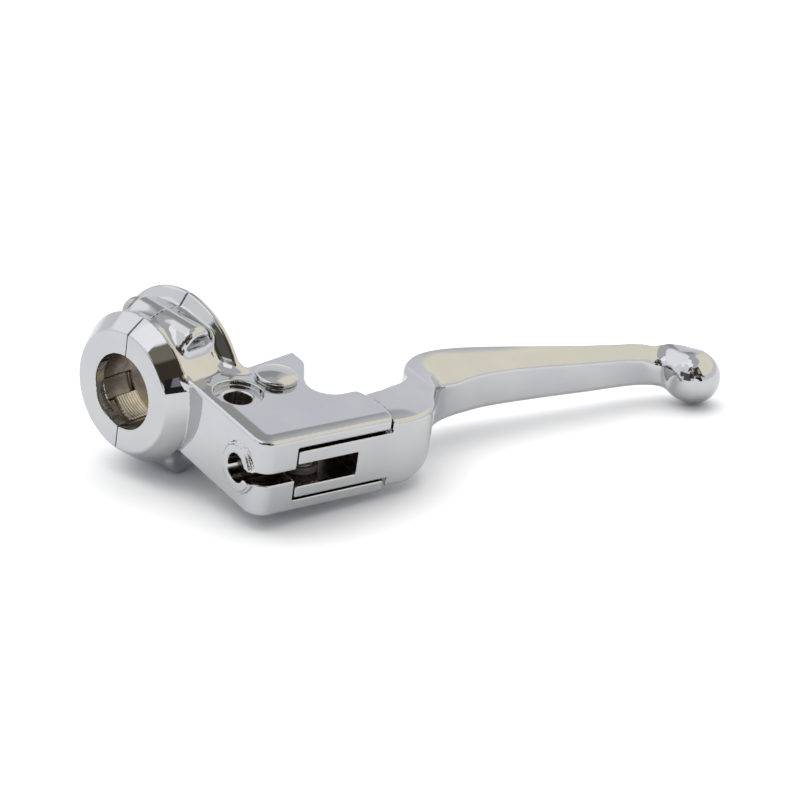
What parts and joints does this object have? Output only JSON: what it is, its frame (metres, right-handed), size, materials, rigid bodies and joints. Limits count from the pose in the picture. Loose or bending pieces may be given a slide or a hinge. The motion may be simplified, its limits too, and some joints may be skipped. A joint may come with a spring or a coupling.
{
  "type": "motorcycle clutch lever",
  "caption": "Chromed clutch lever on a two-piece handlebar clamp, with a ball-ended blade, a pivot pin, a swivelling cable anchor and a mirror stem hole.",
  "frame": {"origin": "centre of the pivot pin's flat lower end, on the lever's pivot axis", "axes": "+X along the handlebar towards the grip, +Y from the lever towards the rider, +Z along the pivot axis, towards the pin's head"},
  "size_m": [0.1907, 0.1345, 0.0594],
  "materials": {
    "chrome": "show chrome, mirror bright",
    "polished_steel": "plated and polished",
    "plated_steel": "zinc plated",
    "spring_steel": "dark phosphate",
    "bronze": "sintered, oiled",
    "nylon": "moulded black"
  },
  "bodies": {
    "bracket": {"bracket": "chrome", "clamp_rear": "chrome", "clamp_screw_upper": "plated_steel", "clamp_screw_lower": "plated_steel", "clamp_washer_upper": "plated_steel", "clamp_washer_lower": "plated_steel", "pivot_pin": "polished_steel", "retaining_ring": "spring_steel"},
    "lever": {"lever": "chrome", "pivot_bush": "bronze", "anchor_bush": "nylon"},
    "anchor_pin": {"anchor_pin": "plated_steel"}
  },
  "joints": [
    {"name": "lever_pivot", "type": "hinge", "parent": "bracket", "child": "lever", "pos_m": [0, 0, 0], "axis": [0, 0, 1], "range_deg": [0, 22]},
    {"name": "anchor_pin_swivel", "type": "hinge", "parent": "lever", "child": "anchor_pin", "pos_m": [-0.00916, -0.02315, 0], "axis": [0, 0, 1], "range_deg": [-22, 0]}
  ],
  "couplings": [
    {"joint": "anchor_pin_swivel", "follows": "lever_pivot", "ratio": -1}
  ]
}
